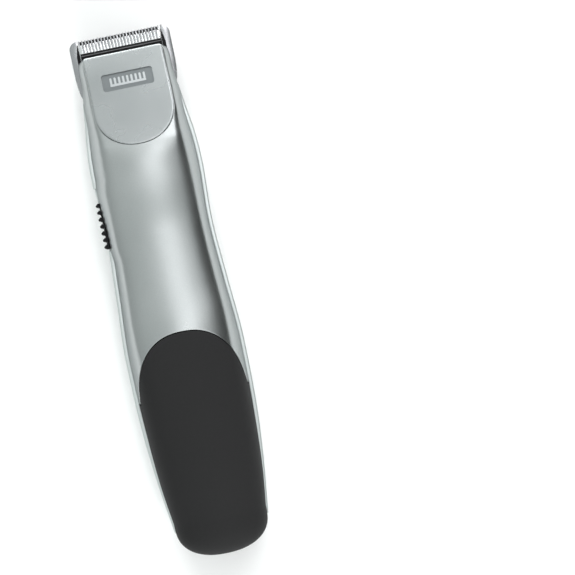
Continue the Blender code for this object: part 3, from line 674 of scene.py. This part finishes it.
def screw_wells():
    """The walls of the deep recesses that the shells' screws sit in."""
    for number, (x, place, ledge) in enumerate(HOUSING_SCREWS, 1):
        floor = through(BACK, place) + 1.0
        sections = ((floor, WELL_RADIUS), (ledge + 1.2, WELL_RADIUS))
        well = turned_up(f"screw_well_{number}", (x, place), sections)
        bore = ((floor - 2, COUNTERBORE_RADIUS), (ledge, COUNTERBORE_RADIUS))
        cut(well, turned_up("well_bore", (x, place), bore))
        cut(well, turned_up("well_hole", (x, place), ((floor, 1.4), (ledge + 3, 1.4))))
        piece(well, REAR_SILVER, "housing", "silver_plastic")


def cover_shell():
    """The battery cover: an arched front and a closed round end."""
    table = section_table(cover_front, 90.0, CAP_START)
    starts = [arch_place(table, column) for column in range(ACROSS + 1)]
    edge = [column for column in range(ACROSS + 1) if starts[column] >= FRONT_END - 0.01]
    for column in edge:
        starts[column] = FRONT_END + SEAM_GAP
    rows = 70
    points = []
    for i in range(rows + 1):
        part = i / rows
        for column in range(ACROSS + 1):
            place = starts[column] + (CAP_START - starts[column]) * part
            points.append(surface_point(table, column, place))
    cap_rings = 26
    cap_places = [CAP_START + CAP_LENGTH * (1 - (1 - i / cap_rings) ** 2) for i in range(1, cap_rings)]
    cap_places += [CAP_START + CAP_LENGTH * 0.9995]
    for place in cap_places:
        points += [(x, along(place), z) for x, z in cover_front(place)]
    faces = grid_faces(rows + 1 + len(cap_places), ACROSS + 1)
    back_start = len(points)
    back_places = [REAR_END + SEAM_GAP] + [place for place in cap_places if place > REAR_END + 0.6]
    for place in back_places:
        points += [(x, along(place), z) for x, z in cover_back(place)]
    faces += grid_faces(len(back_places), ACROSS + 1, back_start)
    obj = object_from("cover_shell", points, faces)
    work = bmesh.new()
    work.from_mesh(obj.data)
    bmesh.ops.remove_doubles(work, verts=work.verts, dist=0.00002)
    # The small hole that the last ring leaves in the round end is filled.
    last = along(cap_places[-1]) * MM + 0.00001
    ring = [side for side in work.edges if side.is_boundary and all(v.co.y < last for v in side.verts)]
    bmesh.ops.edgenet_fill(work, edges=ring)
    bmesh.ops.recalc_face_normals(work, faces=work.faces)
    work.to_mesh(obj.data)
    work.free()
    face_outwards(obj, Vector((0, -0.1, 1)))
    shell(obj, COVER_WALL, 0.3)
    shade(obj.data)
    piece(obj, SOFT_BLACK, "cover", "black_soft", "battery_cover")


def plate_ring(grow):
    """The plate's whole edge in (x, distance down the plate), from the middle of its top round the U."""
    top = -PLATE_OVERHANG - grow
    curve = plate_outline(grow)
    half, straight = curve[0]
    right = []
    for i in range(1, 6):
        turn = pi / 2 * i / 6
        right.append((half - PLATE_CORNER * (1 - sin(turn)), top + PLATE_CORNER * (1 - cos(turn))))
    low = top + PLATE_CORNER
    for i in range(13):
        right.append((half, low + (straight - low) * i / 13))
    left = [(-x, down) for x, down in reversed(right)]
    inner = half - PLATE_CORNER
    return [(0, top), (inner, top)] + right + curve + left + [(-inner, top)]


def face_plate():
    """The plate, slightly crowned from its upper to its lower end, with a rolled edge."""
    middle, reach = 14.2, 14.4
    # The edge's height and growth, from the plate's underside to its front
    rolled = ((-0.8, 0.0), (-0.06, 0.0), (0.0, -0.03), (0.045, -0.09), (0.06, -0.17))
    front, inwards = rolled[-1]
    rings = [[(x, down, height) for x, down in plate_ring(grow)] for height, grow in rolled]
    inner = plate_ring(inwards)
    for part in (0.96, 0.85, 0.7, 0.5, 0.3, 0.12):
        rings.append([(x * part, middle + (down - middle) * part, front) for x, down in inner])
    placed = []
    for ring in rings:
        placed.append([
            slope_point(x, down, height + PLATE_CROWN * (0.5 - ((down - middle) / reach) ** 2))
            for x, down, height in ring
        ])
    plate = loft("face_plate_panel", placed)
    cut(plate, on_slope("badge_recess", badge_outline(0.05), (-0.4, 2)))
    piece(plate, PLATE, "housing", "plate_silver", "face_plate")


def rounded(middle, half_size, radius, steps=8):
    """A rectangle with round corners about a point."""
    (x, y), (half_x, half_y) = middle, half_size
    points = []
    for quarter, (sx, sy) in enumerate(((1, 1), (-1, 1), (-1, -1), (1, -1))):
        for i in range(steps + 1):
            turn = pi / 2 * (quarter + i / steps)
            across = sx * (half_x - radius) + radius * cos(turn)
            down = sy * (half_y - radius) + radius * sin(turn)
            points.append((x + across, y + down))
    return points


def badge_outline(grow):
    half_x, half_y = BADGE_HALF_SIZE
    return rounded((0, BADGE_AT - HEAD_START), (half_x + grow, half_y + grow), 0.85 + grow)


def badge():
    """The dark badge, with a plain comb of short bars on it."""
    field = on_slope("badge_field", badge_outline(0), (-0.42, -0.26))
    piece(field, BADGE, "housing", "badge_grey", "face_badge")
    middle = BADGE_AT - HEAD_START
    bars = [on_slope("comb_back", rounded((0, middle + 0.95), (5.6, 0.35), 0.3, 4), (-0.3, -0.16))]
    count, pitch = 9, 1.3
    for i in range(count):
        place = ((i - (count - 1) / 2) * pitch, middle - 0.35)
        bars.append(on_slope(f"comb_tooth_{i}", rounded(place, (0.32, 1.05), 0.3, 4), (-0.3, -0.17)))
    piece(joined("badge_mark", bars), MARK, "housing", "plate_silver")


# ---------------------------------------------------------------- blades


BLADE_BOTTOM, BLADE_TOP = 8.9, 9.9
CUTTER_BOTTOM, CUTTER_TOP = 10.2, 11.0
TEETH = 26
PITCH = 1.0


def toothed(teeth, front, depth, tip, root, back):
    """An outline with teeth along its front edge, closed by the points of its back."""
    outline = []
    for i in range(teeth):
        middle = (i - (teeth - 1) / 2) * PITCH
        if i:
            outline.append((middle - root / 2, front + depth))
        outline.append((middle - tip / 2, front + 0.25))
        outline.append((middle - tip / 4, front))
        outline.append((middle + tip / 4, front))
        outline.append((middle + tip / 2, front + 0.25))
        if i < teeth - 1:
            outline.append((middle + root / 2, front + depth))
    return outline + back


def stationary_blade():
    """The comb: fine teeth between two ears with round corners, on a plate that narrows at its back."""
    half, corner, tip = 15.8, 2.6, 0.05
    right = [(13.2, tip)]
    for i in range(9):
        turn = pi / 2 * i / 8
        right.append((half - corner * (1 - sin(turn)), tip + corner * (1 - cos(turn))))
    right += [(half, 11.0), (15.72, 13.0), (15.5, 15.0), (15.2, 16.8), (14.75, 18.0), (14.1, 18.7)]
    notch = [((TEETH - 1) / 2 * PITCH + 0.3, 3.2), (13.1, 3.2)]
    left = [(-x, place) for x, place in reversed(right)]
    back = notch + right + left + [(-x, place) for x, place in reversed(notch)]
    outline = toothed(TEETH, 0.1, 3.1, 0.42, 0.56, back)
    blade = prism("comb_blade", outline, BLADE_BOTTOM, BLADE_TOP)
    for side in (-1, 1):
        cut(blade, turned_up("hole", (side * 9.2, 14.6), ((8, 1.25), (11, 1.25))))
    soften(blade, 0.07, 2, 50)
    piece(blade, BLADE, "blade_head", "blade_steel", "stationary_blade")


def moving_blade():
    """The cutter, which slides on the comb."""
    half = 12.9
    back = [(half, 1.9), (half, 5.0), (half - 0.5, 10.5), (0.5 - half, 10.5), (-half, 5.0), (-half, 1.9)]
    # One tooth fewer than the comb has, each over one of its gaps.
    outline = toothed(TEETH - 1, 1.5, 2.7, 0.5, 0.66, back)
    blade = prism("cutter_blade", outline, CUTTER_BOTTOM, CUTTER_TOP)
    soften(blade, 0.08, 2, 50)
    piece(blade, CUTTER, "cutter", "blade_steel", "moving_blade")


def painted_shade_webs():
    """Thin dark webs low down between the comb's teeth, as painted shade: dark pieces that stand in for
    the shadow down the gaps between the teeth.
    """
    shade_webs = []
    heights = (BLADE_BOTTOM + 0.05, BLADE_BOTTOM + 0.3)
    for i in range(TEETH - 1):
        x = (i - (TEETH - 2) / 2) * PITCH
        # Each web is painted shade: a dark piece where the gap between two teeth shows only shadow.
        shade_webs.append(block(f"shade_web_{i}", (x - 0.27, x + 0.27), (0.35, 3.3), heights))
    piece(joined("painted_shade_webs", shade_webs), DARK_GREY, "blade_head", "blade_steel")


def head_inside():
    """Painted shade in the head: a black rail on the moving blade, with a grey ridge on it, and black pads
    beside it, dark pieces that stand in for the shade in the gaps behind and beside the moving blade.
    """
    # The black rail is painted shade, dark where the gap behind the moving blade shows only shadow.
    shade_rail_piece = block("painted_shade_rail", (-12.75, 12.75), (4.2, 10.4), (CUTTER_TOP + 0.01, CUTTER_TOP + 0.25))
    soften(shade_rail_piece, 0.08)
    piece(shade_rail_piece, BLACK, "cutter", "grey_plastic")
    ridge = block("rail_ridge", (-12.6, 12.6), (4.85, 5.1), (CUTTER_TOP + 0.25, CUTTER_TOP + 0.5))
    soften(ridge, 0.06)
    piece(ridge, GREY, "cutter", "grey_plastic")
    # The black pads are painted shade, dark where the gaps beside the moving blade show only shadow.
    right = ((13.0, 1.3), (13.15, 1.3), (13.5, 2.6), (14.0, 5.2), (14.0, 8.6), (12.95, 8.6))
    for word, side in (("left", -1), ("right", 1)):
        outline = [(side * x, place) for x, place in right]
        shade_pad = prism(f"painted_shade_pad_{word}", outline, BLADE_TOP, BLADE_TOP + 0.2)
        soften(shade_pad, 0.05)
        piece(shade_pad, BLACK, "blade_head", "grey_plastic")


# ---------------------------------------------------------------- switch


def switch_rib(name, x, place):
    """One rib of the switch, standing along Z, with round ends and a round nose to the left."""
    rings = []
    for height, size in ((8.35, 0.6), (8.55, 0.9), (8.9, 1.0), (13.6, 1.0), (13.95, 0.9), (14.15, 0.6)):
        ring = []
        for a, b in circle(1, 28):
            # The side towards the slider is deeper and wider than the nose.
            depth, width = (0.8, 0.78) if a > 0 else (0.62, 0.56)
            ring.append((x + depth * size * a, along(place) + width * size * b, height))
        rings.append(ring)
    return loft(name, rings)


def switch_button():
    """The slider that the thumb pushes: a plate with ribs, and a stem into the trimmer."""
    outer = -16.05
    first_rib, rib_pitch, ribs = 51.2, 2.16, 7
    plate = block("ribbed_slider", (outer - 0.75, outer), (50.4, 65.0), (8.2, 14.3))
    soften(plate, 0.25, 3)
    solids = [plate]
    for i in range(ribs):
        solids.append(switch_rib(f"rib_{i}", outer - 1.15, first_rib + i * rib_pitch))
    solids.append(block("stem", (outer - 0.4, -13.9), (55.0, 60.0), (10.1, 12.9)))
    button = joined("switch_slider_button", solids)
    piece(button, BLACK, "power_switch", "black_plastic", "switch_button")


# ---------------------------------------------------------------- carried-over CAD nodes


CARRIED = {
    "blade_carrier": DARK_GREY, "drive_yoke": NYLON, "eccentric_cam": NYLON, "tension_spring": STEEL,
    "blade_screw_left": STEEL, "blade_screw_right": STEEL, "motor_can": STEEL, "motor_shaft": STEEL,
    "motor_end_cap": BLACK, "motor_mount": GREY, "front_bearing": BRASS, "armature": COPPER,
    "commutator": COPPER, "brush_left": COPPER, "brush_right": COPPER, "magnet_left": MAGNET,
    "magnet_right": MAGNET, "switch_slider": BLACK, "switch_wiper": BRASS, "switch_base": GREY,
    "switch_contact_in": BRASS, "switch_contact_out": BRASS, "battery_tray": GREY,
    "battery_cell_left": CELL, "battery_cell_right": CELL, "contact_plate": BRASS,
    "contact_spring_plate": BRASS, "bridge_plate": BRASS, "contact_spring": STEEL, "bridge_spring": STEEL,
    "housing_screw_1": STEEL, "housing_screw_2": STEEL, "housing_screw_3": STEEL, "housing_screw_4": STEEL,
    "lead_wire_red": RED, "lead_wire_switch": RED, "lead_wire_black": WIRE_BLACK,
}


def dress_cad_nodes():
    for name, material in CARRIED.items():
        paint(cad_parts[name], material)


# ---------------------------------------------------------------- camera, floor and light


def look_at(obj, target, up):
    """Points an object's -Z at target, with its +Y as near to up as it goes."""
    back = (Vector(obj.location) - Vector(target)).normalized()
    side = Vector(up).cross(back).normalized()
    top = back.cross(side)
    obj.matrix_world = Matrix.Translation(obj.location) @ Matrix((side, top, back)).transposed().to_4x4()


def camera():
    """A long lens over the trimmer, which lies left of the middle and leans down to the right."""
    lens = bpy.data.cameras.new("camera")
    lens.lens = 150
    lens.sensor_width = 36
    lens.clip_start = 0.01
    made = new_object("camera", lens)
    target = Vector((0.0352, -0.0055, 0.012))
    view_width = 0.179
    distance = view_width * lens.lens / lens.sensor_width
    # A little from the left, and a little from the blades' end.
    made.location = target + Vector((-0.047, 0.045, 1)).normalized() * distance
    look_at(made, target, (0.2053, 0.9787, 0))
    bpy.context.scene.camera = made


def area_light(name, place, target, size, power, colour=(1, 1, 1)):
    light = bpy.data.lights.new(name, "AREA")
    light.shape = "RECTANGLE"
    light.size, light.size_y = size
    light.energy = power
    light.color = colour
    made = new_object(name, light)
    made.location = place
    look_at(made, target, (0, 1, 0))


# The sky's brightness against the X of the direction looked in, from the far left to the far right.
SKY = ((-1.0, 0.58), (-0.6, 0.68), (-0.15, 0.75), (0.26, 0.75), (0.4, 0.1), (1.0, 0.06))
SKY_TINT = (0.94, 1.0, 0.985)
LIGHT_COLOUR = (1, 0.98, 1)


def sky():
    """A plain grey studio, lighter on the left, darker on the right."""
    world = bpy.data.worlds.new("studio")
    bpy.context.scene.world = world
    world.use_nodes = True
    tree = world.node_tree
    where = tree.nodes.new("ShaderNodeTexCoord")
    split = tree.nodes.new("ShaderNodeSeparateXYZ")
    tree.links.new(where.outputs["Generated"], split.inputs[0])
    side = tree.nodes.new("ShaderNodeMapRange")
    side.inputs["From Min"].default_value = -1
    tree.links.new(split.outputs["X"], side.inputs["Value"])
    ramp = tree.nodes.new("ShaderNodeValToRGB")
    tree.links.new(side.outputs["Result"], ramp.inputs["Fac"])
    stops = ramp.color_ramp.elements
    while len(stops) < len(SKY):
        stops.new(0.5)
    for stop, (x, value) in zip(stops, SKY):
        stop.position = (x + 1) / 2
        stop.color = (*(value * part for part in SKY_TINT), 1)
    tree.links.new(ramp.outputs["Color"], tree.nodes["Background"].inputs["Color"])


def studio():
    bpy.context.scene.view_settings.view_transform = "Standard"
    bpy.ops.mesh.primitive_plane_add(size=6)
    floor = bpy.context.object
    floor.name = "floor"
    sheet = Nodes("floor_paper", (0.9, 0.9, 0.9), 0.7)
    sheet.colour(sheet.between(sheet.noise(4.0), (0.89, 0.89, 0.89), (0.91, 0.91, 0.91)))
    floor.data.materials.append(sheet.material)
    area_light("key", (0.075, 0.09, 0.75), (0.075, 0.09, 0), (0.2, 0.36), 0.355, LIGHT_COLOUR)
    area_light("edge_light", (0.2, 0.43, 0.75), (0.2, 0.43, 0), (0.2, 0.26), 0.6, LIGHT_COLOUR)
    area_light("head_light", (0.3, 1.15, 0.6), (0.1, 0, 0), (1.6, 0.5), 19.5)
    area_light("foot_light", (0.3, -1.15, 0.6), (0.1, 0, 0), (1.6, 0.5), 19.5)
    sky()


# ---------------------------------------------------------------- everything

camera()
front_shell()
rear_shell()
screw_wells()
cover_shell()
face_plate()
badge()
stationary_blade()
moving_blade()
painted_shade_webs()
head_inside()
switch_button()
dress_cad_nodes()
studio()
